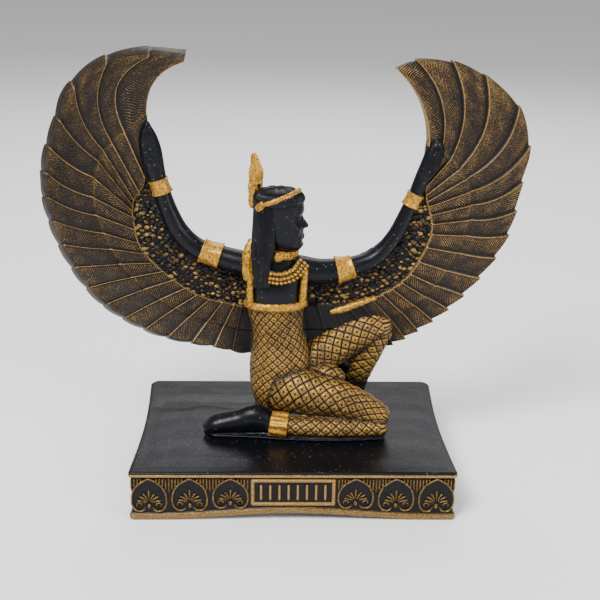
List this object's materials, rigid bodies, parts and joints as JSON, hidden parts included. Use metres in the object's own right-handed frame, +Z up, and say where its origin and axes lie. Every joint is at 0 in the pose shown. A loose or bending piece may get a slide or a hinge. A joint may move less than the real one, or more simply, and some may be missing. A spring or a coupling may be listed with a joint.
{
  "type": "winged goddess statuette",
  "caption": "Kneeling winged Egyptian goddess in black resin with gold paint, wings raised, on an oblong plinth with a palmette frieze.",
  "frame": {"origin": "centre of the whole statuette's box, on the surface that the plinth stands on", "axes": "+Z up, -Y out of the front frieze towards the viewer, +X to the viewer's right, the way the head faces"},
  "size_m": [0.1804, 0.081, 0.1659],
  "materials": {
    "black_resin": "cast resin painted satin black, with dry brushed gold on the frieze and mouldings",
    "gilded_resin": "cast resin painted satin black, with hand painted gold jewellery and dry brushed gold on feathers and dress"
  },
  "bodies": {
    "root": {"plinth": "black_resin", "winged_figure": "gilded_resin"}
  },
  "joints": []
}
